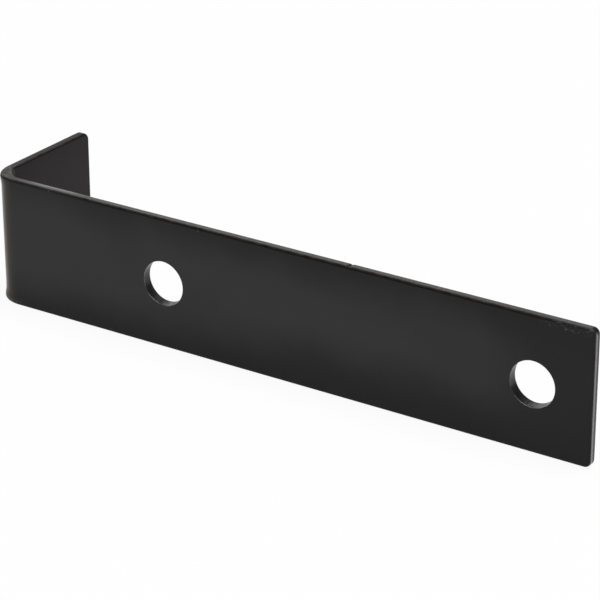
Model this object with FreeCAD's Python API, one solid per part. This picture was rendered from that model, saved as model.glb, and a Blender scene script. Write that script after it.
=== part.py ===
import FreeCAD, Part
import math
import os

# Corner brace: one length of flat steel strip, punched and bent once to a right angle.
# Millimetres, +Z up. The brace stands on a long edge of the strip, as in the photograph.
# +X runs along the long leg, away from the bend, and +Y runs along the short leg.
# The legs enclose the corner on their +X +Y side, and their outer faces look along -Y and -X.
# The origin is the middle of the brace's footprint, on the surface that it stands on.

# Strip
STRIP_WIDTH = 40.0
STRIP_THICKNESS = 3.0

# Legs, each measured over the outside of the bend
LONG_LEG = 201.0
SHORT_LEG = 44.5
BEND_INNER_RADIUS = 6.0

# Tumbled edges: the rounding of every edge, and the corner that it leaves on a flat face
EDGE_ROUND = 0.75
FACE_CORNER_ROUND = 1.25

# Round the outside of the bend, the stretched edges of the strip curl outwards in a low lip
LIP_HEIGHT = 0.3
LIP_WIDTH = 3.0

# Punched holes for M12 bolts, all on the middle line of the strip
HOLE_DIAMETER = 13.5
HOLE_RIM_ROUND = 0.3
FIRST_HOLE_FROM_SHORT_LEG = 60.0
LAST_HOLE_FROM_END = 18.0

# A rounding or a lip takes at most this share of the wall that it is cut from
LARGEST_SHARE = 0.45

# Cross-sections that shape the bend, spread evenly over its quarter turn
BEND_SECTIONS = 13


def within(size, wall):
    """The size, as far as the wall has room for it."""
    return min(size, LARGEST_SHARE * wall)


# Sizes that follow from the ones above
bend_outer_radius = BEND_INNER_RADIUS + STRIP_THICKNESS
edge_round = within(EDGE_ROUND, STRIP_THICKNESS)
end_corner_radius = edge_round + FACE_CORNER_ROUND
lip_foot = within(edge_round + LIP_WIDTH, STRIP_WIDTH)
hole_radius = HOLE_DIAMETER / 2
hole_rim_round = within(HOLE_RIM_ROUND, STRIP_THICKNESS)

# Hole centres along each leg, from the outer face of the other leg
long_leg_holes = [STRIP_THICKNESS + FIRST_HOLE_FROM_SHORT_LEG, LONG_LEG - LAST_HOLE_FROM_END]
short_leg_holes = [(STRIP_THICKNESS + SHORT_LEG) / 2]


def arc_inset(radius):
    """How far the middle of a quarter arc lies from each of the two sides that it joins."""
    return radius * (1 - math.sqrt(0.5))


def leg_outline(length):
    """A leg's outline in the XZ plane: square at the bend, with round corners at the free end."""
    radius = end_corner_radius
    inset = arc_inset(radius)
    top = STRIP_WIDTH

    def at(x, z):
        return FreeCAD.Vector(x, 0, z)

    edges = [
        Part.LineSegment(at(0, 0), at(length - radius, 0)),
        Part.Arc(at(length - radius, 0), at(length - inset, inset), at(length, radius)),
        Part.LineSegment(at(length, radius), at(length, top - radius)),
        Part.Arc(at(length, top - radius), at(length - inset, top - inset), at(length - radius, top)),
        Part.LineSegment(at(length - radius, top), at(0, top)),
        Part.LineSegment(at(0, top), at(0, 0)),
    ]
    return Part.Wire([edge.toShape() for edge in edges])


def is_rim(edge):
    """Whether an edge of the plain leg runs round one of its two faces, and not along the bend."""
    box = edge.BoundBox
    crosses_thickness = box.YLength > STRIP_THICKNESS / 2
    lies_at_bend = box.XMax < STRIP_THICKNESS / 2
    return not crosses_thickness and not lies_at_bend


def leg(overall_length, hole_places):
    """A leg from the end of the bend to its free end, along +X, with its outer face at Y = 0."""
    face = Part.Face(leg_outline(overall_length - bend_outer_radius))
    plate = face.extrude(FreeCAD.Vector(0, STRIP_THICKNESS, 0))
    plate = plate.makeFillet(edge_round, [edge for edge in plate.Edges if is_rim(edge)])
    for place in hole_places:
        centre = FreeCAD.Vector(place - bend_outer_radius, 0, STRIP_WIDTH / 2)
        punch = Part.makeCylinder(hole_radius, STRIP_THICKNESS, centre, FreeCAD.Vector(0, 1, 0))
        plate = plate.cut(punch)
    hole_rims = [edge for edge in plate.Edges if edge.isClosed()]
    return plate.makeFillet(hole_rim_round, hole_rims)


def bend_section(share):
    """
    The strip's cross-section at a share of the quarter turn, counted from the short leg.

    The lip grows from nothing at both ends of the bend to its full height midway.
    """
    turn = share * math.pi / 2
    inner = BEND_INNER_RADIUS
    outer = bend_outer_radius
    crest = outer + LIP_HEIGHT * math.sin(math.pi * share) ** 2
    corner = edge_round
    inset = arc_inset(corner)
    top = STRIP_WIDTH

    def at(radius, z):
        x = outer - radius * math.cos(turn)
        y = outer - radius * math.sin(turn)
        return FreeCAD.Vector(x, y, z)

    def curl(low, high):
        """An S-shaped rise between the flat outer side and the crest of a lip."""
        upright = FreeCAD.Vector(0, 0, (high.z - low.z) / 2)
        curve = Part.BezierCurve()
        curve.setPoles([low, low + upright, high - upright, high])
        return curve

    edges = [
        Part.LineSegment(at(outer, lip_foot), at(outer, top - lip_foot)),
        curl(at(outer, top - lip_foot), at(crest, top - corner)),
        Part.Arc(at(crest, top - corner), at(crest - inset, top - inset), at(crest - corner, top)),
        Part.LineSegment(at(crest - corner, top), at(inner + corner, top)),
        Part.Arc(at(inner + corner, top), at(inner + inset, top - inset), at(inner, top - corner)),
        Part.LineSegment(at(inner, top - corner), at(inner, corner)),
        Part.Arc(at(inner, corner), at(inner + inset, inset), at(inner + corner, 0)),
        Part.LineSegment(at(inner + corner, 0), at(crest - corner, 0)),
        Part.Arc(at(crest - corner, 0), at(crest - inset, inset), at(crest, corner)),
        curl(at(crest, corner), at(outer, lip_foot)),
    ]
    return Part.Wire([edge.toShape() for edge in edges])


def bend():
    """The quarter turn between the legs, drawn through its cross-sections."""
    last = BEND_SECTIONS - 1
    sections = [bend_section(number / last) for number in range(BEND_SECTIONS)]
    return Part.makeLoft(sections, True)


def brace():
    """The whole strip, built from the corner where the outer faces of the legs would meet."""
    corner = FreeCAD.Vector(0, 0, 0)
    past_bend = FreeCAD.Vector(bend_outer_radius, 0, 0)
    swap_x_and_y = FreeCAD.Vector(1, -1, 0)
    long_leg = leg(LONG_LEG, long_leg_holes)
    long_leg.translate(past_bend)
    short_leg = leg(SHORT_LEG, short_leg_holes)
    short_leg.translate(past_bend)
    short_leg = short_leg.mirror(corner, swap_x_and_y)
    whole = long_leg.fuse([bend(), short_leg])
    whole.translate(FreeCAD.Vector(-LONG_LEG / 2, -SHORT_LEG / 2, 0))
    return whole


os.makedirs("parts", exist_ok=True)
brace().exportStep("parts/brace.step")
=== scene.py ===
import math

import bpy
from mathutils import Matrix, Vector


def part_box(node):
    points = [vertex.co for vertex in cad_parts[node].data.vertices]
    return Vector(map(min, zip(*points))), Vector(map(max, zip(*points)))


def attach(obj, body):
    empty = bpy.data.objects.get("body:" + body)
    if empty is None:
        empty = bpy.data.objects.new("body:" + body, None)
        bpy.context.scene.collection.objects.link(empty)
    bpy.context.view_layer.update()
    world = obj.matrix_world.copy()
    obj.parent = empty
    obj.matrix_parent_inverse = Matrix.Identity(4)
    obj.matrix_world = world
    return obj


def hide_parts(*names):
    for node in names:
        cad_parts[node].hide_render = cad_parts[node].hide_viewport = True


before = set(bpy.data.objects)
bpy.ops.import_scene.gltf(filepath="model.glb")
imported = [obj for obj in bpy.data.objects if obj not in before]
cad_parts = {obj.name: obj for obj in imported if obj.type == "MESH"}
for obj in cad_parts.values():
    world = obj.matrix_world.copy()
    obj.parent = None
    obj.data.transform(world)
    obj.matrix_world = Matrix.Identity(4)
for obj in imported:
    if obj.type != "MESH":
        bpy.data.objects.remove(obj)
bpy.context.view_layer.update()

bl_info = {
    "name": "Corner brace",
    "version": (1, 0, 0),
    "blender": (4, 5, 0),
    "location": "3D View > Sidebar > Corner Brace",
    "description": "Makes a bent and punched corner brace of flat strip, and its stage",
    "category": "Object",
}

# The brace is one length of flat strip. It is drawn as the flat blank that a maker would cut and
# punch, with its outer face up, and a rule then bends it. On the blank, X runs along the strip
# from the start of the bend, the short leg lies at negative X, and Y runs across its width.
# Lengths are in metres, as in the frame.

MM = 0.001
NODE = "brace"
BODY = "root"

LOWEST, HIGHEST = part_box(NODE)
LONG_LEG, SHORT_LEG, STRIP_WIDTH = HIGHEST - LOWEST

# Facets of the finished mesh
EDGE_SPACING = 0.5 * MM
ROUND_STEPS = 8
END_CORNER_STEPS = 12
WALL_SPACING = 0.2 * MM
HOLE_STEPS = 144
BEND_STEPS = 60
BEND_ROWS = 84
WELD = 0.002 * MM

# Flat margin that each rounding keeps beside it, so that the flat faces stay flat in their shading
FLAT_MARGIN = 0.5 * MM
RIM_MARGIN = 0.4 * MM
BEND_MARGIN = 1.0 * MM

# Small irregularities of the shape: how many to the metre, and how deep
DENTS_PER_METRE = 260.0
DENT_DEPTH = 0.03 * MM
STREAKS_PER_METRE = 1400.0
STREAK_STRETCH = 0.12
STREAK_DEPTH = 0.02 * MM

# Each hole has its own streaks, because its seed grows by so much for a metre along the strip
SEEDS_PER_METRE = 100.0

# How far the punch has wandered across the strip by the time that it left the inner face
PUNCH_LEAN = 0.4 * MM

# How far the outer side of the bend draws its edges in as it stretches
DRAW_IN = 0.18 * MM

# How far the edges of its inner side swell as it is pressed together
SWELL = 0.5 * MM

# Nick in the upper edge of the long leg
NICK = 128.1 * MM
NICK_WIDTH = 1.2 * MM
NICK_DEPTH = 0.32 * MM


# Sizes and colours that a user would change


def amount(name, description, default, **kind):
    """A number for the panel."""
    return bpy.props.FloatProperty(name=name, description=description, default=default, **kind)


def length(name, description, default, **limits):
    """A length for the panel."""
    kind = {"subtype": "DISTANCE", "unit": "LENGTH", "precision": 4}
    return amount(name, description, default, **kind, **limits)


def location(name, description, default):
    """A place in the scene for the panel."""
    return bpy.props.FloatVectorProperty(
        name=name, description=description, default=default, subtype="TRANSLATION", unit="LENGTH"
    )


def tint(name, description, default):
    """A colour for the panel."""
    return bpy.props.FloatVectorProperty(
        name=name, description=description, default=default, min=0.0, max=1.0, subtype="COLOR"
    )


def factor(name, description, default):
    """A number from 0 to 1 for the panel."""
    return amount(name, description, default, min=0.0, max=1.0, subtype="FACTOR")


class StripSizes(bpy.types.PropertyGroup):
    """Sizes of the strip, its bend and its holes. The brace's tree has one input for each."""

    width: length(
        "Width", "Width of the strip, and so the height of the brace", STRIP_WIDTH, min=10 * MM
    )
    thickness: length("Thickness", "Thickness of the strip", 3 * MM, min=MM)
    long_leg: length(
        "Long Leg", "Length of the long leg, over the outside of the bend", LONG_LEG, min=50 * MM
    )
    short_leg: length(
        "Short Leg", "Length of the short leg, over the outside of the bend", SHORT_LEG, min=20 * MM
    )
    bend_radius: length("Bend Radius", "Radius of the inside of the bend", 6 * MM, min=MM)
    edge_round: length(
        "Edge Round", "Radius of the tumbled edges", 0.75 * MM, min=0.2 * MM, max=1.3 * MM
    )
    far_corners: length(
        "Far Corners", "Radius of the corners of the long leg's free end", 2 * MM, min=1.6 * MM
    )
    short_corners: length(
        "Short Corners", "Radius of the corners of the short leg's free end", 2.5 * MM, min=1.6 * MM
    )
    lip_height: length(
        "Lip Height", "How far the edges curl outwards midway round the bend", 0.3 * MM, min=0.0
    )
    lip_width: length(
        "Lip Width", "Width over which a lip rises from the face", 3 * MM, min=0.5 * MM
    )
    hole: length("Hole Diameter", "Diameter of the punched holes", 13.5 * MM, min=2 * MM)
    rim_round: length("Rim Round", "Rounding of the rims of the holes", 0.2 * MM, min=0.1 * MM)
    near_hole: length(
        "Near Hole", "From the outer face of the short leg to the hole near the bend", 63 * MM
    )
    far_hole: length(
        "Far Hole", "From the outer face of the short leg to the hole near the end", 183 * MM
    )
    short_leg_hole: length(
        "Short Leg Hole", "From the outer face of the long leg to the short leg's hole", 23.75 * MM
    )
    nick: length("Nick", "From the start of the bend to the nick in the upper edge", NICK)
    seed: amount(
        "Seed", "Picks the small irregularities of the tumbled edges and the punched walls", 4.0
    )


class CoatingLook(bpy.types.PropertyGroup):
    """Colours and surface of the black coating."""

    colour: tint(
        "Coating", "Colour of the black coating where it is dull", (0.0147, 0.0144, 0.0144)
    )
    # Painted shade: the rounded edges are coloured darker than the faces
    edge_shade_colour: tint(
        "Edges",
        "Colour of the coating on the rounded edges, where it has run thick",
        (0.0062, 0.0048, 0.0034),
    )
    # Painted reflection: a lighter band of sheen along the middle of the strip
    sheen_colour: tint(
        "Middle",
        "Colour of the coating along the middle of the strip, where handling polishes it",
        (0.034, 0.0335, 0.0335),
    )
    warm_colour: tint(
        "Warm Patches", "Colour of the faint warm patches in the coating", (0.029, 0.0255, 0.0265)
    )
    # Painted light: the inner face of the short leg gets its own warmer, lighter tone, to match how
    # that face is lit
    short_leg_lit_colour: tint(
        "Inside of the Short Leg",
        "Colour of the coating on the inner face of the short leg, where it is thin",
        (0.0285, 0.022, 0.024),
    )
    # Partly the warm stretched coating round the bend, partly a painted highlight: it is lighter
    # where the bend's grazing highlight falls
    bend_tint_and_highlight: tint(
        "Bend",
        "Colour of the coating round the outside of the bend, where it is stretched thin",
        (0.048, 0.029, 0.0175),
    )
    # The painted highlights on the free ends and on the rims of the holes take this colour, as do
    # the real scuffs and raised specks
    rubbed_and_lit_colour: tint(
        "Rubbed Edges", "Colour of the metal where the coating has rubbed thin", (0.2, 0.2, 0.204)
    )
    punched_colour: tint(
        "Punched Walls",
        "Colour of the burnished metal that shows through in the holes",
        (0.05, 0.05, 0.048),
    )
    # Painted light: a highlight on the rims of the holes, and a reflection on the low side of their
    # walls
    hole_highlight_colour: tint(
        "Burnished Rims",
        "Colour of the bare metal on the rims of the holes, where bolts have rubbed",
        (0.42, 0.42, 0.41),
    )
    roughness: factor("Roughness", "Roughness of the coating on the faces", 0.4)
    hole_roughness: factor(
        "Hole Roughness", "Roughness of the punched walls, which the punch has burnished", 0.28
    )
    gloss: factor(
        "Gloss", "Strength of the coating's reflection, where 0.5 is a common varnish", 0.1
    )
    # Strength of the painted highlights on the free ends and on the rims of the holes
    rubbed_and_lit: factor("Wear", "How far the sheared ends and the rims of the holes are rubbed", 0.9)
    pebble: length(
        "Pebbling", "Size of the fine pebbles in the coating", 0.4 * MM, min=0.05 * MM
    )


class StudioSettings(bpy.types.PropertyGroup):
    """Camera, lamps and floor."""

    camera_place: location("Camera", "Where the camera stands", (0.389728, -0.594114, 0.332602))
    aim: location(
        "Aim", "Point that the middle of the picture shows", (-0.002934, -0.003802, 0.016544)
    )
    roll: amount(
        "Roll",
        "Turn of the camera about its own line of sight",
        math.radians(-0.134),
        subtype="ANGLE",
        unit="ROTATION",
    )
    lens: amount(
        "Lens",
        "Focal length on a sensor 36 mm wide",
        163.88,
        min=10.0,
        subtype="DISTANCE_CAMERA",
        unit="CAMERA",
    )
    floor_colour: tint("Floor", "Colour of the floor", (0.9, 0.9, 0.9))
    floor_reach: length(
        "Floor Reach", "From the middle of the square floor to each of its sides", 4.0, min=0.5
    )
    sky: amount(
        "Room Light", "Strength of the even light that the room gives from all sides", 0.05, min=0.0
    )


def own_properties(group):
    """The properties that a group adds to those of every group."""
    return [item for item in group.bl_rna.properties if item.identifier not in ("rna_type", "name")]


# Node trees

LENGTH = "NodeSocketFloat"
WHOLE = "NodeSocketInt"
POINT = "NodeSocketVector"
SHAPE = "NodeSocketGeometry"
TYPE_OF_NUMBER = {float: LENGTH, int: WHOLE}
SHADING = "ShaderNodeTree"
COLUMN_WIDTH = 210
ROW_HEIGHT = 190


def feed(tree, socket, value):
    """
    Joins a value to an input.

    A field or another node's output is linked, a node stands for its first output, and anything
    else is a plain setting.
    """
    if isinstance(value, Field):
        value = value.source
    if isinstance(value, bpy.types.Node):
        value = value.outputs[0]
    if isinstance(value, bpy.types.NodeSocket):
        tree.links.new(value, socket)
    elif value is not None:
        socket.default_value = value


def place(tree, kind, values=None, **settings):
    """Adds a node, with its settings, and with its inputs by name or number."""
    node = tree.nodes.new(kind)
    for name, value in settings.items():
        setattr(node, name, value)
    for key, value in (values or {}).items():
        feed(tree, node.inputs[key], value)
    return node


class Field:
    """A number that changes over the piece. Sums on it become Math nodes in its tree."""

    def __init__(self, tree, source):
        self.tree = tree
        self.source = source

    def maths(self, operation, *others):
        values = dict(enumerate((self, *others)))
        return Field(self.tree, place(self.tree, "ShaderNodeMath", values, operation=operation))

    def __add__(self, other):
        return self.maths("ADD", other)

    def __sub__(self, other):
        return self.maths("SUBTRACT", other)

    def __rsub__(self, other):
        return number(self.tree, other).maths("SUBTRACT", self)

    def __mul__(self, other):
        return self.maths("MULTIPLY", other)

    def __truediv__(self, other):
        return self.maths("DIVIDE", other)

    def __neg__(self):
        return self * -1.0

    def least(self, other):
        return self.maths("MINIMUM", other)

    def most(self, other):
        return self.maths("MAXIMUM", other)

    def ramp(self, start, end, to_start=0.0, to_end=1.0, kind="LINEAR"):
        """The value carried over from one range to another, and held at the ends."""
        values = {0: self, 1: start, 2: end, 3: to_start, 4: to_end}
        return Field(
            self.tree, place(self.tree, "ShaderNodeMapRange", values, interpolation_type=kind)
        )


def number(tree, value):
    """A plain number as a field, so that it may stand first in a sum."""
    return Field(tree, place(tree, "ShaderNodeMath", {0: value, 1: 0.0}, operation="ADD"))


def vector(tree, x=0.0, y=0.0, z=0.0):
    """Three values as one vector."""
    return place(tree, "ShaderNodeCombineXYZ", {0: x, 1: y, 2: z})


def scaled(tree, value, scale):
    """A vector made longer or shorter."""
    return place(tree, "ShaderNodeVectorMath", {0: value, "Scale": scale}, operation="SCALE")


def distance(tree, first, second):
    """How far two points lie apart."""
    node = place(tree, "ShaderNodeVectorMath", {0: first, 1: second}, operation="DISTANCE")
    return Field(tree, node.outputs["Value"])


def parts_of(tree, value):
    """The three values of a vector, as fields."""
    node = place(tree, "ShaderNodeSeparateXYZ", {0: value})
    return [Field(tree, output) for output in node.outputs]


def noise(tree, where, per_metre, detail=2.0, seed=None):
    """Soft random values from 0 to 1, so many to the metre, and other ones for another seed."""
    values = {"Vector": where, "Scale": per_metre, "Detail": detail}
    dimensions = "3D"
    if seed is not None:
        values["W"] = seed
        dimensions = "4D"
    return Field(tree, place(tree, "ShaderNodeTexNoise", values, noise_dimensions=dimensions))


def fields_of(tree, node):
    """A node's outputs by name, as fields."""
    return {output.name: Field(tree, output) for output in node.outputs}


def new_tree(name, inputs, kind="GeometryNodeTree"):
    """An empty tree with named inputs, each with a socket type or a number to start with."""
    tree = bpy.data.node_groups.new(name, kind)
    for label, start in inputs.items():
        socket_type = TYPE_OF_NUMBER.get(type(start), start)
        socket = tree.interface.new_socket(label, in_out="INPUT", socket_type=socket_type)
        if socket_type != start:
            socket.default_value = start
    return tree, fields_of(tree, tree.nodes.new("NodeGroupInput"))


def with_outputs(tree, values, socket_type=SHAPE):
    """The tree with named outputs that give these values, and with its nodes set out."""
    for label in values:
        tree.interface.new_socket(label, in_out="OUTPUT", socket_type=socket_type)
    place(tree, "NodeGroupOutput", values)
    return arranged(tree)


def arranged(tree):
    """The tree with its nodes set out in columns, from its inputs to its output."""
    columns = {}

    def column(node):
        if node not in columns:
            columns[node] = 0
            before = [link.from_node for socket in node.inputs for link in socket.links]
            columns[node] = 1 + max((column(other) for other in before), default=-1)
        return columns[node]

    filled = {}
    for node in tree.nodes:
        row = filled.get(column(node), 0)
        node.location = (column(node) * COLUMN_WIDTH, -row * ROW_HEIGHT)
        filled[column(node)] = row + 1
    return tree


def use(tree, group, values, kind="GeometryNodeGroup"):
    """Places one of the trees below as a node in another."""
    return place(tree, kind, values, node_tree=group)


# Geometry of the flat blank

CORNERS = ("First", "Second", "Third", "Fourth")


def position(tree):
    """Where a point of the shape lies."""
    return place(tree, "GeometryNodeInputPosition")


def kept_value(tree, name):
    """A value that the points of the shape keep under a name."""
    node = place(tree, "GeometryNodeInputNamedAttribute", {"Name": name}, data_type="FLOAT")
    return Field(tree, node)


def store(tree, shape, name, value, data_type="FLOAT"):
    """Keeps a value on the points of a shape under a name that the materials read."""
    values = {"Geometry": shape, "Name": name, "Value": value}
    return place(
        tree, "GeometryNodeStoreNamedAttribute", values, data_type=data_type, domain="POINT"
    )


def moved(tree, shape, offset, turn=None):
    """A shape set somewhere else as a whole."""
    values = {"Geometry": shape, "Translation": offset, "Rotation": turn}
    return place(tree, "GeometryNodeTransform", values)


def shifted(tree, shape, offset):
    """A shape with each of its points shifted by its own offset."""
    return place(tree, "GeometryNodeSetPosition", {"Geometry": shape, "Offset": offset})


def pressed_in(tree, shape, depth):
    """A shape with its surface pressed in, by a depth that changes over it."""
    outward = place(tree, "GeometryNodeInputNormal")
    return shifted(tree, shape, scaled(tree, outward, -depth))


def join(tree, *shapes):
    """Several shapes as one."""
    node = tree.nodes.new("GeometryNodeJoinGeometry")
    for shape in reversed(shapes):
        feed(tree, node.inputs[0], shape)
    return node


def swept(tree, path, profile):
    """The surface that a profile leaves along a path."""
    return place(tree, "GeometryNodeCurveToMesh", {"Curve": path, "Profile Curve": profile})


def flipped(tree, shape):
    """A surface with its faces turned to the other side."""
    return place(tree, "GeometryNodeFlipFaces", {"Mesh": shape})


def welded(tree, *shapes):
    """Several shapes as one, with the points that lie on each other made one point."""
    values = {"Geometry": join(tree, *shapes), "Distance": WELD}
    return place(tree, "GeometryNodeMergeByDistance", values)


def rounded_line():
    """A line through four points, with its two middle corners rounded and its runs divided."""
    sizes = {"Radius": MM, "Corner Steps": ROUND_STEPS, "Spacing": MM}
    tree, given = new_tree("rounded_line", dict.fromkeys(CORNERS, POINT) | sizes)
    index = Field(tree, place(tree, "GeometryNodeInputIndex"))
    chain = place(tree, "GeometryNodeMeshLine", {"Count": len(CORNERS)})
    choice = place(tree, "GeometryNodeIndexSwitch", data_type="VECTOR")
    while len(choice.index_switch_items) < len(CORNERS):
        choice.index_switch_items.new()
    feed(tree, choice.inputs["Index"], index)
    for corner_number, corner in enumerate(CORNERS):
        feed(tree, choice.inputs[str(corner_number)], given[corner])
    placed = place(tree, "GeometryNodeSetPosition", {"Geometry": chain, "Position": choice})
    line = place(tree, "GeometryNodeMeshToCurve", {"Mesh": placed})
    values = {"Curve": line, "Count": given["Corner Steps"], "Radius": given["Radius"]}
    rounded = place(tree, "GeometryNodeFilletCurve", values, mode="POLY")

    here = position(tree)
    values = {"Value": here, "Index": index + 1.0}
    there = place(
        tree, "GeometryNodeFieldAtIndex", values, data_type="FLOAT_VECTOR", domain="POINT"
    )
    cuts = (distance(tree, here, there) / given["Spacing"]).maths("FLOOR")
    divided = place(tree, "GeometryNodeSubdivideCurve", {"Curve": rounded, "Cuts": cuts})
    return with_outputs(tree, {"Line": divided})


def line_through(tree, rounded, points, radius, steps, spacing):
    """A rounded line through four points. A point leaves out the values at its end that are 0."""
    values = {corner: vector(tree, *point) for corner, point in zip(CORNERS, points)}
    values |= {"Radius": radius, "Corner Steps": steps, "Spacing": spacing}
    return use(tree, rounded, values)


def wrapping_profile(rounded, name, attribute):
    """
    The line that wraps from one face of the strip round its edge to the other.

    Its X is distance past the edge and its Y is depth under the outer face, so a negative Reach
    puts the flat margins inside an outline, and a positive one outside a hole. It keeps how near
    each point is to the narrow side, as 1 on that side and 0 on the faces.
    """
    tree, given = new_tree(name, {"Thickness": 3 * MM, "Round": MM, "Reach": -1.5 * MM})
    reach, thickness = given["Reach"], given["Thickness"]
    points = (reach,), (), (0.0, thickness), (reach, thickness)
    line = line_through(tree, rounded, points, given["Round"], ROUND_STEPS, WALL_SPACING)
    past = parts_of(tree, position(tree))[0]
    nearness = past.maths("ABSOLUTE").ramp(given["Round"], 0.0)
    return with_outputs(tree, {"Profile": store(tree, line, attribute, nearness)})


def leg_outline(rounded):
    """The path round a leg's free end, from the bend and back to it."""
    inputs = {"Length": 100 * MM, "Width": 40 * MM, "End Corner": 2 * MM}
    tree, given = new_tree("leg_outline", inputs)
    run, width, corner = given["Length"], given["Width"], given["End Corner"]
    points = (), (run,), (run, width), (0.0, width)
    line = line_through(tree, rounded, points, corner, END_CORNER_STEPS, EDGE_SPACING)
    return with_outputs(tree, {"Path": line})


def punched_hole(profile):
    """The wall and the two rims of one punched hole, with the streaks that the punch leaves."""
    inputs = {
        "Centre": POINT,
        "Diameter": 13.5 * MM,
        "Thickness": 3 * MM,
        "Rim Round": 0.2 * MM,
        "Streak Depth": STREAK_DEPTH,
        "Lean": PUNCH_LEAN,
        "Seed": 0.0,
    }
    tree, given = new_tree("punched_hole", inputs)
    thickness, rim_round = given["Thickness"], given["Rim Round"]
    values = {"Resolution": HOLE_STEPS, "Radius": given["Diameter"] / 2.0}
    circle = place(tree, "GeometryNodeCurvePrimitiveCircle", values, mode="RADIUS")
    values = {"Thickness": thickness, "Round": rim_round, "Reach": rim_round + RIM_MARGIN}
    wall = flipped(tree, swept(tree, circle, use(tree, profile, values)))

    # Streaks run through the hole: they change quickly round it and slowly along its axis
    across, along, height = parts_of(tree, position(tree))
    where = vector(tree, across, along, height * STREAK_STRETCH)
    streaks = noise(tree, where, STREAKS_PER_METRE, 3.0, given["Seed"])
    depth = streaks * kept_value(tree, "wall") * given["Streak Depth"]
    wandered = -height / thickness * given["Lean"]
    leaning = shifted(tree, pressed_in(tree, wall, depth), vector(tree, 0.0, wandered))
    return with_outputs(tree, {"Hole": moved(tree, leaning, given["Centre"])})


def face_between_edges():
    """Closes one flat face: the area between the open edges that lie at its height."""
    tree, given = new_tree("face_between_edges", {"Edges": SHAPE, "Height": 0.0})
    height = parts_of(tree, position(tree))[2]
    at_height = (height - given["Height"]).maths("ABSOLUTE").maths("LESS_THAN", WELD)
    faces_beside = Field(tree, place(tree, "GeometryNodeInputMeshEdgeNeighbors"))
    is_open = faces_beside.maths("LESS_THAN", 2.0)
    values = {"Mesh": given["Edges"], "Selection": at_height * is_open}
    line = place(tree, "GeometryNodeMeshToCurve", values)
    filled = place(tree, "GeometryNodeFillCurve", {"Curve": line}, mode="NGONS")
    face = moved(tree, filled, vector(tree, 0.0, 0.0, given["Height"]))
    return with_outputs(tree, {"Face": face})


def tumbled():
    """The dents that tumbling leaves on the rounded edges, and the nick in the upper edge."""
    inputs = {
        "Blank": SHAPE,
        "Width": 40 * MM,
        "Edge Round": 0.75 * MM,
        "Depth": DENT_DEPTH,
        "Nick": NICK,
        "Nick Width": NICK_WIDTH,
        "Nick Depth": NICK_DEPTH,
        "Seed": 0.0,
    }
    tree, given = new_tree("tumbled", inputs)
    here = position(tree)
    uneven = noise(tree, here, DENTS_PER_METRE, 4.0, given["Seed"])
    depth = uneven * kept_value(tree, "edge") * given["Depth"]
    dented = pressed_in(tree, given["Blank"], depth)

    # The nick fades out below the rounding of the edge
    along, across, _ = parts_of(tree, here)
    from_nick = (along - given["Nick"]).maths("ABSOLUTE")
    notch = from_nick.ramp(given["Nick Width"] / 2.0, 0.0, kind="SMOOTHSTEP")
    in_edge = across.ramp(given["Width"] - given["Edge Round"], given["Width"])
    drop = notch * in_edge * given["Nick Depth"]
    return with_outputs(tree, {"Blank": shifted(tree, dented, vector(tree, 0.0, -drop))})


def bending_rule():
    """
    Bends the blank to a right angle.

    The blank between 0 and Bend Length turns about an upright axis. The outer side of the strip's
    edges rises in a lip there, from nothing at both ends of the bend to its full height midway,
    and is drawn in as it stretches. The inner side swells.
    """
    inputs = {
        "Blank": SHAPE,
        "Width": 40 * MM,
        "Thickness": 3 * MM,
        "Bend Radius": 6 * MM,
        "Bend Length": 11.8 * MM,
        "Edge Round": 0.75 * MM,
        "Lip Height": 0.3 * MM,
        "Lip Width": 3 * MM,
        "Draw In": DRAW_IN,
        "Swell": SWELL,
        "Corner": POINT,
    }
    tree, given = new_tree("bending_rule", inputs)
    along, across, height = parts_of(tree, position(tree))
    depth = -height
    outer = given["Bend Radius"] + given["Thickness"]
    share = along.ramp(0.0, given["Bend Length"])
    turn = share * (math.pi / 2)

    rise = (share * math.pi).maths("SINE").maths("POWER", 2.0)
    from_edge = across.least(given["Width"] - across)
    foot = given["Edge Round"] + given["Lip Width"]
    curl = from_edge.ramp(foot, given["Edge Round"], kind="SMOOTHSTEP")
    inner_side = given["Thickness"] - given["Edge Round"]
    on_outer_side = depth.ramp(inner_side, given["Edge Round"])
    on_inner_side = depth.ramp(given["Edge Round"], inner_side)
    lip = rise * curl * on_outer_side * given["Lip Height"]
    swell = rise * curl * on_inner_side * given["Swell"]

    radius = outer - depth + lip - swell
    stretch = depth.ramp(given["Thickness"], 0.0) * from_edge.ramp(foot, 0.0)
    upwards = across.ramp(0.0, given["Width"], to_start=1.0, to_end=-1.0).maths("SIGN")
    drawn_in = rise * stretch * upwards * given["Draw In"]
    before = (-along).most(0.0)
    after = (along - given["Bend Length"]).most(0.0)
    x = outer - radius * turn.maths("COSINE") + after
    y = outer - radius * turn.maths("SINE") + before
    bent = vector(tree, x, y, across + drawn_in)
    target = place(tree, "ShaderNodeVectorMath", {0: bent, 1: given["Corner"]}, operation="ADD")
    values = {"Geometry": given["Blank"], "Position": target}
    return with_outputs(tree, {"Brace": place(tree, "GeometryNodeSetPosition", values)})


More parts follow.
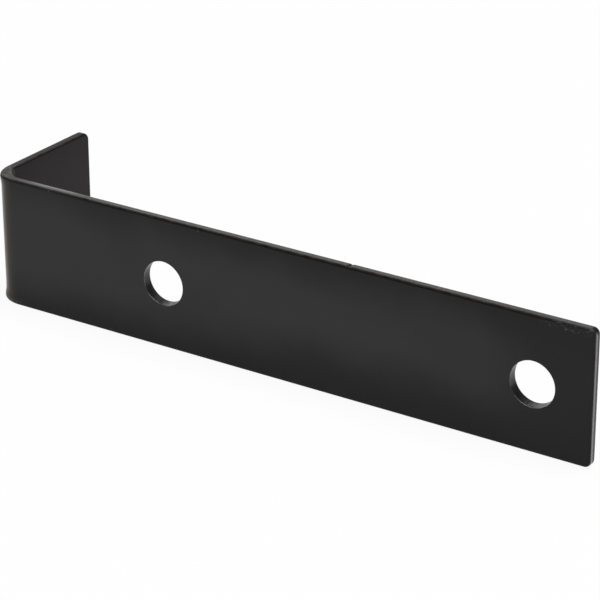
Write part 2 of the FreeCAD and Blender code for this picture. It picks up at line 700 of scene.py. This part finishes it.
def brace_tree(sizes, coating, punched):
    """The whole brace: the blank's edges, holes and faces, tumbled and then bent."""
    inputs = {item.name: item.default for item in own_properties(sizes)}
    tree, given = new_tree("corner_brace", inputs)
    width, thickness = given["Width"], given["Thickness"]
    outer = given["Bend Radius"] + thickness
    bend_length = (given["Bend Radius"] + thickness / 2.0) * (math.pi / 2)
    bend_end = bend_length + BEND_MARGIN
    middle = width / 2.0

    rounded = rounded_line()
    outline = leg_outline(rounded)
    edge_profile = wrapping_profile(rounded, "edge_profile", "edge")
    hole = punched_hole(wrapping_profile(rounded, "hole_profile", "wall"))
    closed_face = face_between_edges()

    # Edges: one path round each leg, and one along each side of the bend between them
    def leg_path(leg, corners):
        values = {"Length": given[leg] - outer - BEND_MARGIN, "Width": width}
        return use(tree, outline, values | {"End Corner": given[corners]})

    def bend_side(start, end):
        line = place(tree, "GeometryNodeCurvePrimitiveLine", {"Start": start, "End": end})
        values = {"Curve": line, "Count": BEND_STEPS + 1}
        return place(tree, "GeometryNodeResampleCurve", values, mode="COUNT")

    short_leg_start = vector(tree, -BEND_MARGIN, width)
    paths = join(
        tree,
        moved(tree, leg_path("Long Leg", "Far Corners"), vector(tree, bend_end)),
        moved(tree, leg_path("Short Leg", "Short Corners"), short_leg_start, (0.0, 0.0, math.pi)),
        bend_side(vector(tree, -BEND_MARGIN), vector(tree, bend_end)),
        bend_side(vector(tree, bend_end, width), vector(tree, -BEND_MARGIN, width)),
    )
    reach = -(given["Edge Round"] + FLAT_MARGIN)
    values = {"Thickness": thickness, "Round": given["Edge Round"], "Reach": reach}
    edges = swept(tree, paths, use(tree, edge_profile, values))

    # Bend: a close net over each side of it
    values = {
        "Size X": bend_length + 2 * BEND_MARGIN,
        "Size Y": width + reach * 2.0,
        "Vertices X": BEND_STEPS + 1,
        "Vertices Y": BEND_ROWS,
    }
    net = place(tree, "GeometryNodeMeshGrid", values)
    net_middle = bend_length / 2.0
    outer_net = moved(tree, net, vector(tree, net_middle, middle))
    inner_net = flipped(tree, moved(tree, net, vector(tree, net_middle, middle, -thickness)))

    # Holes
    def hole_at(along):
        values = {
            "Centre": vector(tree, along, middle),
            "Diameter": given["Hole Diameter"],
            "Thickness": thickness,
            "Rim Round": given["Rim Round"],
            "Seed": given["Seed"] + along * SEEDS_PER_METRE,
        }
        return use(tree, hole, values)

    past_bend = bend_length - outer
    holes = join(
        tree,
        hole_at(past_bend + given["Near Hole"]),
        hole_at(past_bend + given["Far Hole"]),
        hole_at(outer - given["Short Leg Hole"]),
    )

    open_blank = welded(tree, edges, holes, outer_net, inner_net)
    outer_face = use(tree, closed_face, {"Edges": open_blank, "Height": 0.0})
    inner_face = use(tree, closed_face, {"Edges": open_blank, "Height": -thickness})
    blank = welded(tree, open_blank, outer_face, flipped(tree, inner_face))
    blank = store(tree, blank, "blank", position(tree), "FLOAT_VECTOR")
    shared = ("Width", "Edge Round", "Nick", "Seed")
    blank = use(tree, tumbled(), {"Blank": blank} | {name: given[name] for name in shared})

    half_long = given["Long Leg"] / -2.0
    half_short = given["Short Leg"] / -2.0
    shared = ("Width", "Thickness", "Bend Radius", "Edge Round", "Lip Height", "Lip Width")
    corner = vector(tree, half_long, half_short)
    values = {"Blank": blank, "Bend Length": bend_length, "Corner": corner}
    bent = use(tree, bending_rule(), values | {name: given[name] for name in shared})
    smooth = place(tree, "GeometryNodeSetShadeSmooth", {"Geometry": bent})
    plain = place(tree, "GeometryNodeRealizeInstances", {"Geometry": smooth})
    coated = place(tree, "GeometryNodeSetMaterial", {"Geometry": plain, "Material": coating})
    is_wall = kept_value(tree, "wall").maths("GREATER_THAN", 0.5)
    values = {"Geometry": coated, "Selection": is_wall, "Material": punched}
    return with_outputs(tree, {"Brace": place(tree, "GeometryNodeSetMaterial", values)})


# Finishes. A pair is where a change starts and ends along or across the blank, and a triple is
# where a stretch starts and ends and how softly it fades.

PEEL_SHARE = 0.16
PEBBLE_HEIGHT = 0.012 * MM
PUNCH_HEIGHT = 0.015 * MM
COAT_ROUGHNESS = 0.35
HOLE_GLOSS = 0.35

# Noises of the finishes: how many to the metre
WARM_PATCHES = 21.0
CRAZING = 1100.0
PUNCH_STREAKS = 2600.0
PUNCH_RINGS = 2200.0

# The band of painted sheen, a soft reflection painted into the colour, in shares of the strip's
# width: its middle, where it ends and is full, how far smudges push its border, how much it widens
# at its two ends and beside the bend, and how far its middle moves up midway, where its upper
# border stays
BAND_MIDDLE = 0.55
BAND_BORDER = (0.5, 0.08)
BAND_WANDER = 0.35
BAND_EXCESS = (0.06, -0.04)
BAND_FLARE = 0.03
BAND_LIFT = 0.03

# The same band along the blank, and what is left of it at the far end and on the inner side
BAND_RUN = (30 * MM, 200 * MM)
FLARE_RUN = (45 * MM, 15 * MM)
LIFT_RUNS = ((80 * MM, 115 * MM), (180 * MM, 150 * MM))
FADE_RUN = (168 * MM, 190 * MM)
FAR_END_SHEEN = 0.15
INNER_SHEEN = 0.45

# The painted shade on the rounded edges fades out towards the far end
SHADED_EDGE_RUN = (191 * MM, 186 * MM)
SHADED_AT_FAR_END = 0.25

# Where the inner face of the short leg gets its painted tone, with painted shade towards its upper
# edge, and where the outside of the bend gets its warm painted highlight
SHORT_LEG_RUN = (11 * MM, 4 * MM)
INNER_SHADE = (0.68, 0.92)
BEND_RUNS = ((11.5 * MM, 7.5 * MM), (-4 * MM, 2 * MM))

# Marks of use
SPECKS = ((25.2 * MM, 39.6 * MM), (78.4 * MM, 39.2 * MM), (46.4 * MM, 0.9 * MM))
SPECK_SIZE = 0.28 * MM
SCUFFED_LENGTH = (190.7 * MM, 202.7 * MM, 4 * MM)
SCUFFED_HEIGHT = (38.2 * MM, 39.7 * MM, 0.6 * MM)

# The glossy stretches, on the bend and along the crest of the long leg's edges
CRAZED_RUN = (0.0, 5 * MM, 7 * MM)
PRESSED_RUNS = ((9.1 * MM, 6.3 * MM), (-3 * MM, 2 * MM))
PRESSED_ABOVE = (2 * MM, 6 * MM)
LOW_CORNER_RUN = (2 * MM, 12 * MM, 4 * MM)
LOW_CORNER_BELOW = (2.5 * MM, 0.8 * MM)
CREST_RUN = (10.5 * MM, 17 * MM)
THUMBED_RUN = (20.5 * MM, 32 * MM, 6.5 * MM)

# The short leg's sheared end is the roughest
SHORT_END_RUN = (-33.8 * MM, -34.8 * MM)


def effect(tree, group, values):
    """Places a shader group, and gives its outputs as fields by name."""
    return fields_of(tree, use(tree, group, values, "ShaderNodeGroup"))


def blended(tree, share, first, second):
    """Two colours mixed by a share of the second. Each is a colour of the panel or another mix."""
    first, second = (
        colour if isinstance(colour, bpy.types.NodeSocket) else (*colour, 1.0)
        for colour in (first, second)
    )
    node = place(tree, "ShaderNodeMix", {0: share, 6: first, 7: second}, data_type="RGBA")
    return node.outputs[2]


def stretched(tree, where, along, across, through):
    """A place on the strip with each direction drawn out by its own factor."""
    values = {0: where, 1: (along, across, through)}
    return place(tree, "ShaderNodeVectorMath", values, operation="MULTIPLY")


def pebbled_coating():
    """The coating's own skin: fine pebbles on a slower orange peel."""
    inputs = {"Place": POINT, "Pebble Size": 0.4 * MM}
    tree, given = new_tree("pebbled_coating", inputs, SHADING)
    per_metre = number(tree, 1.0) / given["Pebble Size"]
    pebbles = noise(tree, given["Place"], per_metre)
    peel = noise(tree, given["Place"], per_metre * PEEL_SHARE, 1.0)
    height = pebbles * 0.3 + peel * 0.7
    return with_outputs(tree, {"Height": height, "Tone": pebbles}, LENGTH)


def handling_marks():
    """Marks of handling: wide soft smudges, and scuffs drawn out along the strip."""
    inputs = {"Place": POINT, "Smudges per Metre": 45.0, "Scuffs per Metre": 1500.0}
    tree, given = new_tree("handling_marks", inputs, SHADING)
    smudge = noise(tree, given["Place"], given["Smudges per Metre"], 3.0)
    drawn_out = stretched(tree, given["Place"], 0.6, 1.0, 1.0)
    scuff = noise(tree, drawn_out, given["Scuffs per Metre"], 3.0)
    scuff = scuff.ramp(0.5, 0.68, kind="SMOOTHSTEP")
    return with_outputs(tree, {"Smudge": smudge, "Scuff": scuff}, LENGTH)


def rubbed_and_lit_crest():
    """Where a rounded edge's crest is lightened, broken up along it: a painted highlight on the
    rims of the holes, and light rubbing along the other edges.
    """
    inputs = {"Place": POINT, "Edge": 0.0, "Amount": 0.5, "Breaks per Metre": 380.0}
    tree, given = new_tree("rubbed_and_lit_crest", inputs, SHADING)
    edge = given["Edge"]
    crest = edge.ramp(0.45, 0.8) * edge.ramp(1.0, 0.97)
    broken = noise(tree, given["Place"], given["Breaks per Metre"], 4.0).ramp(0.35, 0.65)
    return with_outputs(tree, {"Wear": crest * broken * given["Amount"]}, LENGTH)


def new_material(name):
    """A material with an empty tree."""
    material = bpy.data.materials.new(name)
    material.use_nodes = True
    material.node_tree.nodes.clear()
    return material, material.node_tree


def surfaced(material, shader):
    """The material with a shader joined to its output, and its nodes set out."""
    place(material.node_tree, "ShaderNodeOutputMaterial", {"Surface": shader})
    arranged(material.node_tree)
    return material


def span(field, start, end, soft):
    """1 where a field lies between two values, with soft ends, and 0 elsewhere."""
    return field.ramp(start - soft, start) * field.ramp(end + soft, end)


def between(field, runs):
    """1 where a field has passed both of two changes, and 0 elsewhere."""
    first, second = runs
    return field.ramp(*first) * field.ramp(*second)


def raised_specks(tree, where):
    """The few raised specks of paint on the outer face."""
    specks = number(tree, 0.0)
    for along, across in SPECKS:
        away = distance(tree, where, (along, across, 0.0))
        specks = specks.most(away.ramp(SPECK_SIZE, SPECK_SIZE / 2))
    return specks


def sheared_bands(along, depth, sizes):
    """The bright bands painted on the two free ends beside their outer edges, as highlights on
    their roundings.
    """
    flat_length = (sizes.bend_radius + sizes.thickness / 2) * math.pi / 2
    outer = sizes.bend_radius + sizes.thickness
    far_end = flat_length + sizes.long_leg - outer
    short_end = outer - sizes.short_leg
    start, end = 0.5 * sizes.edge_round, 0.2 * sizes.edge_round
    at_far_end = along.ramp(far_end - start, far_end - end)
    at_short_end = along.ramp(short_end + start, short_end + end)
    band = span(depth, 0.18 * sizes.thickness, 0.42 * sizes.thickness, 0.05 * sizes.thickness)
    return at_far_end.most(at_short_end) * band


def place_on_blank(tree):
    """Where a point of the strip lies on the flat blank."""
    return place(tree, "ShaderNodeAttribute", attribute_name="blank").outputs["Vector"]


def nearness_to(tree, name):
    """How near a point is to the strip's edge or to a hole's wall, from 0 to 1."""
    return Field(tree, place(tree, "ShaderNodeAttribute", attribute_name=name).outputs["Fac"])


class FacePoint:
    """What the coating on the faces depends on at a point, with the effects placed in its tree."""

    def __init__(self, tree, look, sizes, effects):
        self.tree = tree
        self.place = place_on_blank(tree)
        self.edge = nearness_to(tree, "edge")
        self.wall = nearness_to(tree, "wall")
        self.along, self.across, height = parts_of(tree, self.place)
        self.depth = -height
        skin = {"Place": self.place, "Pebble Size": look.pebble}
        self.skin = effect(tree, effects["skin"], skin)
        marks = effect(tree, effects["marks"], {"Place": self.place})
        self.scuff = marks["Scuff"]
        self.smudge = marks["Smudge"] - 0.5
        self.inner_side = self.depth.ramp(0.6 * sizes.thickness, 0.9 * sizes.thickness)
        self.outer_side = self.inner_side.ramp(1.0, 0.0)
        self.short_side = self.along.ramp(*SHORT_LEG_RUN)


def polish_of(point, width):
    """How much painted sheen lies on the coating: a reflection painted as a band along the middle
    of the strip, with random mottling over it.
    """
    along = point.along
    lift = between(along, LIFT_RUNS) * (BAND_LIFT * width)
    from_middle = (point.across - lift - BAND_MIDDLE * width).maths("ABSOLUTE") + lift
    excess = along.ramp(*BAND_RUN, *(share * width for share in BAND_EXCESS))
    excess = excess + along.ramp(*FLARE_RUN) * (BAND_FLARE * width)
    from_border = from_middle + point.smudge * (BAND_WANDER * width) - excess
    band = from_border.ramp(*(share * width for share in BAND_BORDER), kind="SMOOTHSTEP")
    fading = along.ramp(*FADE_RUN, to_start=1.0, to_end=FAR_END_SHEEN)
    fainter_inside = point.inner_side.ramp(0.0, 1.0, to_start=1.0, to_end=INNER_SHEEN)
    grain = point.smudge * 0.4 + (point.skin["Tone"] - 0.5) * 0.25
    return (band * fading * fainter_inside + grain).ramp(0.0, 1.0)


def colour_of(point, look, width):
    """The coating's colour: its own tones and warm patches, with painted shade on the rounded
    edges, a painted sheen along the middle, and painted light on the short leg's inner face and
    round the bend.
    """
    tree = point.tree
    sheen_and_mottle = polish_of(point, width)
    # Painted shade: the rounded edges darken towards the edge shade colour, less so near the far
    # end
    inland = point.along.ramp(*SHADED_EDGE_RUN, to_start=SHADED_AT_FAR_END)
    shaded = point.edge.ramp(0.0, 0.35) * inland
    base = blended(tree, shaded, look.colour, look.edge_shade_colour)
    # Painted sheen: the band along the middle is lightened towards the sheen colour
    base = blended(tree, sheen_and_mottle, base, look.sheen_colour)

    patches = noise(tree, point.place, WARM_PATCHES, 1.0).ramp(0.48, 0.62, to_end=0.5)
    warmth = (patches * sheen_and_mottle).most(point.short_side * (sheen_and_mottle * 0.6 + 0.25))
    warmth = warmth * shaded.ramp(0.0, 1.0, to_start=1.0, to_end=0.2)
    base = blended(tree, warmth, base, look.warm_colour)

    # Painted light and shade on the short leg's inner face: its own lighter tone, and painted shade
    # towards its upper edge
    within = point.short_side * point.inner_side * point.edge.ramp(0.3, 0.0)
    within = within * (point.smudge * 0.8 + 0.8)
    base = blended(tree, within, base, look.short_leg_lit_colour)
    shade_towards_edge = point.across.ramp(*(share * width for share in INNER_SHADE), to_end=0.45)
    base = blended(tree, within * shade_towards_edge, base, look.edge_shade_colour)

    # The outside of the bend: a warm stretched coating, lightened as a painted highlight
    on_outside = (point.outer_side * point.edge.ramp(1.0, 0.0)).most(point.edge * 0.2)
    on_bend = between(point.along, BEND_RUNS) * on_outside
    return blended(tree, on_bend * 0.85, base, look.bend_tint_and_highlight)


def wear_of(point, look, sizes, effects):
    """Where the coating is lightened: painted highlights on the free ends and on the rims of the
    holes, and the real scuffs and raised specks.
    """
    # Painted highlight: a bright band on each free end
    ends = sheared_bands(point.along, point.depth, sizes)
    ends = ends * point.skin["Tone"].ramp(0.25, 0.5, to_start=0.75)
    near_rim = point.wall.ramp(0.0, 0.2, to_start=0.12, to_end=0.4)
    values = {"Place": point.place, "Edge": point.edge.most(point.wall), "Amount": near_rim}
    rims = effect(point.tree, effects["rubbed_and_lit"], values)["Wear"]
    scuffed = span(point.along, *SCUFFED_LENGTH) * span(point.across, *SCUFFED_HEIGHT)
    scuffed = scuffed * point.scuff * point.outer_side
    specks = raised_specks(point.tree, point.place)
    return (ends * look.rubbed_and_lit).most(rims).most(scuffed * 0.2).most(specks * 0.35)


def gloss_of(point, sizes):
    """Where a clear gloss lies on the coating, from 0 to 1."""
    along, across, edge = point.along, point.across, point.edge

    def deeper_than(start, end):
        return point.depth.ramp(start * sizes.thickness, end * sizes.thickness)

    # The stretched side of the bend has crazed, so its gloss is patchy there
    patches = noise(point.tree, point.place, CRAZING).ramp(0.43, 0.57)
    crazed = span(along, *CRAZED_RUN) * edge * patches
    low_corner = span(along, *LOW_CORNER_RUN) * across.ramp(*LOW_CORNER_BELOW) * patches
    pressed = between(along, PRESSED_RUNS) * deeper_than(0.5, 0.4) * edge.ramp(0.6, 0.0)
    pressed = pressed * across.ramp(*PRESSED_ABOVE)

    # The crest of the edges is glossy all along the long leg, but for the nick
    crest = edge.ramp(0.8, 1.0) * along.ramp(*CREST_RUN) * patches.ramp(0.0, 1.0, to_start=0.6)
    from_nick = (along - sizes.nick).maths("ABSOLUTE")
    crest = crest * from_nick.ramp(NICK_WIDTH * 0.3, NICK_WIDTH * 0.6)
    thumbed = span(along, *THUMBED_RUN) * edge.ramp(0.2, 0.7) * deeper_than(0.25, 0.6)
    on_bend = (crazed * 0.4).most(low_corner * 0.4).most(pressed * 0.7)
    return on_bend.most(crest * 0.5).most(thumbed)


def face_coating(look, sizes, effects):
    """The satin black coating of the faces and edges."""
    material, tree = new_material("coating_on_faces")
    point = FacePoint(tree, look, sizes, effects)
    # Painted highlights on the free ends and rims, with the real scuffs and raised specks
    rubbed_and_lit = wear_of(point, look, sizes, effects)
    rough = point.smudge * 0.16 + look.roughness - rubbed_and_lit * 0.1 + point.short_side * point.edge * 0.08
    bump = place(
        tree, "ShaderNodeBump", {"Distance": PEBBLE_HEIGHT, "Height": point.skin["Height"]}
    )
    values = {
        "Base Color": blended(tree, rubbed_and_lit, colour_of(point, look, sizes.width), look.rubbed_and_lit_colour),
        "Metallic": rubbed_and_lit * 0.7,
        "Roughness": rough + point.along.ramp(*SHORT_END_RUN) * point.edge * 0.3,
        "Specular IOR Level": look.gloss,
        "Coat Weight": gloss_of(point, sizes),
        "Coat Roughness": COAT_ROUGHNESS,
        "Normal": bump,
    }
    return surfaced(material, place(tree, "ShaderNodeBsdfPrincipled", values))


def hole_coating(look, sizes, effects):
    """The coating on the punched walls, thin over metal that the punch burnished and streaked, with
    a painted highlight on the rims and a painted reflection on the low side of the walls.
    """
    material, tree = new_material("coating_in_holes")
    where = place_on_blank(tree)
    wall = nearness_to(tree, "wall")
    across = parts_of(tree, where)[1]
    values = {"Place": where, "Pebble Size": look.pebble}
    skin = effect(tree, effects["skin"], values)
    marks = effect(tree, effects["marks"], {"Place": where})
    values = {"Place": where, "Edge": wall, "Amount": look.rubbed_and_lit}
    rim_highlight = effect(tree, effects["rubbed_and_lit"], values)["Wear"]

    # The punch has left streaks through the hole and rings round it, most of all on the low side
    streaks = noise(tree, stretched(tree, where, 1.0, 1.0, 0.1), PUNCH_STREAKS, 3.0)
    rings = noise(tree, stretched(tree, where, 0.15, 0.15, 1.0), PUNCH_RINGS)
    middle = sizes.width / 2
    low_side = across.ramp(middle - 0.44 * sizes.hole, middle - 0.49 * sizes.hole)
    streaks = (streaks * 0.6 + rings * 0.4).ramp(0.38, 0.62) * low_side.ramp(0.0, 1.0, 0.4, 1.0)
    # Painted light: the crest of the rims as a painted highlight, and the streaks on the low side
    # of the walls as a painted reflection
    painted_light = rim_highlight.most(low_side * streaks * 0.4)
    base = blended(tree, streaks, look.colour, look.punched_colour)
    height = streaks * 0.7 + skin["Height"] * 0.3
    values = {
        "Base Color": blended(tree, painted_light, base, look.hole_highlight_colour),
        "Metallic": (streaks * 0.2).most(painted_light),
        "Roughness": streaks * 0.1 + (marks["Smudge"] - 0.5) * 0.2 + look.hole_roughness,
        "Specular IOR Level": HOLE_GLOSS,
        "Normal": place(tree, "ShaderNodeBump", {"Distance": PUNCH_HEIGHT, "Height": height}),
    }
    return surfaced(material, place(tree, "ShaderNodeBsdfPrincipled", values))


# The piece


def set_inputs(modifier, values):
    """Sets a Geometry Nodes modifier's inputs, which it knows by identifier and not by name."""
    identifiers = {
        item.name: item.identifier
        for item in modifier.node_group.interface.items_tree
        if item.item_type == "SOCKET" and item.in_out == "INPUT"
    }
    for name, value in values.items():
        modifier[identifiers[name]] = value


class BendStrip(bpy.types.Operator):
    """Makes the brace from its flat blank, bends it and coats it."""

    bl_idname = "corner_brace.bend_strip"
    bl_label = "Bend Strip"

    def execute(self, context):
        sizes = context.scene.corner_brace_strip
        look = context.scene.corner_brace_coating
        effects = {"skin": pebbled_coating(), "marks": handling_marks(), "rubbed_and_lit": rubbed_and_lit_crest()}
        coatings = face_coating(look, sizes, effects), hole_coating(look, sizes, effects)
        holder = bpy.data.objects.new("brace_blank", bpy.data.meshes.new("brace_blank"))
        context.scene.collection.objects.link(holder)
        modifier = holder.modifiers.new("corner_brace", "NODES")
        modifier.node_group = brace_tree(sizes, *coatings)
        values = {item.name: getattr(sizes, item.identifier) for item in own_properties(sizes)}
        set_inputs(modifier, values)
        evaluated = holder.evaluated_get(context.evaluated_depsgraph_get())
        mesh = bpy.data.meshes.new_from_object(evaluated)
        bpy.data.objects.remove(holder)
        if not mesh.polygons:
            raise RuntimeError("the strip's tree made no faces")
        # The first material slot is the empty one of the holder
        mesh.materials.pop(index=0)
        brace = bpy.data.objects.new("bent_strip", mesh)
        context.scene.collection.objects.link(brace)
        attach(brace, BODY)
        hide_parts(NODE)
        return {"FINISHED"}


# The stage

# Each lamp's name, place, size and power. They all point at the middle of the strip.
LAMPS = (
    ("back_softbox", (-0.95, 1.25, 0.55), (1.6, 0.9), 6.2),
    ("top_softbox", (0.25, 0.15, 1.6), (0.8, 0.8), 24.0),
    ("front_softbox", (0.3, -1.4, 0.45), (0.9, 0.7), 8.0),
)
LAMP_AIM = (0.0, 0.0, 0.02)

# How white the floor looks to the camera and in reflections
FLOOR_WHITE = 0.93

SENSOR_WIDTH = 36.0
CLIP_END = 20.0


def add_lamp(scene, name, place_of_lamp, size, power):
    """A soft area lamp, turned to the strip."""
    data = bpy.data.lights.new(name, "AREA")
    data.shape = "RECTANGLE"
    data.size, data.size_y = size
    data.energy = power
    lamp = bpy.data.objects.new(name, data)
    lamp.location = place_of_lamp
    towards = Vector(LAMP_AIM) - Vector(place_of_lamp)
    lamp.rotation_euler = towards.to_track_quat("-Z", "Y").to_euler()
    scene.collection.objects.link(lamp)


def floor_material(studio):
    """A pale floor that the camera and every reflection see as white, with the brace's shadow."""
    material, tree = new_material("studio_floor")
    matt = place(tree, "ShaderNodeBsdfDiffuse", {"Color": (*studio.floor_colour, 1.0)})
    white = place(tree, "ShaderNodeEmission", {"Strength": 1.0})
    ray = fields_of(tree, place(tree, "ShaderNodeLightPath"))
    seen = ray["Is Camera Ray"].most(ray["Is Glossy Ray"]).most(ray["Is Transmission Ray"])
    seen = seen * FLOOR_WHITE
    return surfaced(material, place(tree, "ShaderNodeMixShader", {0: seen, 1: matt, 2: white}))


class SetStage(bpy.types.Operator):
    """Lays the floor, hangs the lamps and stands the camera where the picture was taken."""

    bl_idname = "corner_brace.set_stage"
    bl_label = "Set Stage"

    def execute(self, context):
        scene = context.scene
        studio = scene.corner_brace_studio
        scene.view_settings.view_transform = "Standard"

        mesh = bpy.data.meshes.new("studio_floor")
        side = studio.floor_reach
        corners = [(-side, -side, 0), (side, -side, 0), (side, side, 0), (-side, side, 0)]
        mesh.from_pydata(corners, [], [(0, 1, 2, 3)])
        mesh.materials.append(floor_material(studio))
        floor = bpy.data.objects.new("studio_floor", mesh)
        scene.collection.objects.link(floor)

        world = bpy.data.worlds.new("studio_room")
        world.use_nodes = True
        room = world.node_tree.nodes["Background"].inputs
        room["Color"].default_value = (1, 1, 1, 1)
        room["Strength"].default_value = studio.sky
        scene.world = world
        for lamp in LAMPS:
            add_lamp(scene, *lamp)

        data = bpy.data.cameras.new("camera")
        data.sensor_fit = "HORIZONTAL"
        data.sensor_width = SENSOR_WIDTH
        data.lens = studio.lens
        data.clip_end = CLIP_END
        camera = bpy.data.objects.new("camera", data)
        away = Vector(studio.camera_place) - Vector(studio.aim)
        turned = away.to_track_quat("Z", "Y").to_matrix() @ Matrix.Rotation(studio.roll, 3, "Z")
        camera.matrix_world = Matrix.Translation(studio.camera_place) @ turned.to_4x4()
        scene.collection.objects.link(camera)
        scene.camera = camera
        return {"FINISHED"}


class CornerBracePanel(bpy.types.Panel):
    """Sizes, coating and stage of the corner brace."""

    bl_idname = "VIEW3D_PT_corner_brace"
    bl_label = "Corner Brace"
    bl_space_type = "VIEW_3D"
    bl_region_type = "UI"
    bl_category = "Corner Brace"

    def draw(self, context):
        layout = self.layout
        layout.use_property_split = True
        scene = context.scene
        for title, group, operator in (
            ("Strip", scene.corner_brace_strip, None),
            ("Coating", scene.corner_brace_coating, BendStrip),
            ("Studio", scene.corner_brace_studio, SetStage),
        ):
            box = layout.box()
            box.label(text=title)
            for item in own_properties(group):
                box.prop(group, item.identifier)
            if operator:
                box.operator(operator.bl_idname)


CLASSES = (StripSizes, CoatingLook, StudioSettings, BendStrip, SetStage, CornerBracePanel)


def register():
    for each in CLASSES:
        bpy.utils.register_class(each)
    bpy.types.Scene.corner_brace_strip = bpy.props.PointerProperty(type=StripSizes)
    bpy.types.Scene.corner_brace_coating = bpy.props.PointerProperty(type=CoatingLook)
    bpy.types.Scene.corner_brace_studio = bpy.props.PointerProperty(type=StudioSettings)


def unregister():
    del bpy.types.Scene.corner_brace_studio
    del bpy.types.Scene.corner_brace_coating
    del bpy.types.Scene.corner_brace_strip
    for each in reversed(CLASSES):
        bpy.utils.unregister_class(each)


def main():
    """Makes the brace and its stage."""
    register()
    bpy.ops.corner_brace.bend_strip()
    bpy.ops.corner_brace.set_stage()


if __name__ == "__main__":
    main()
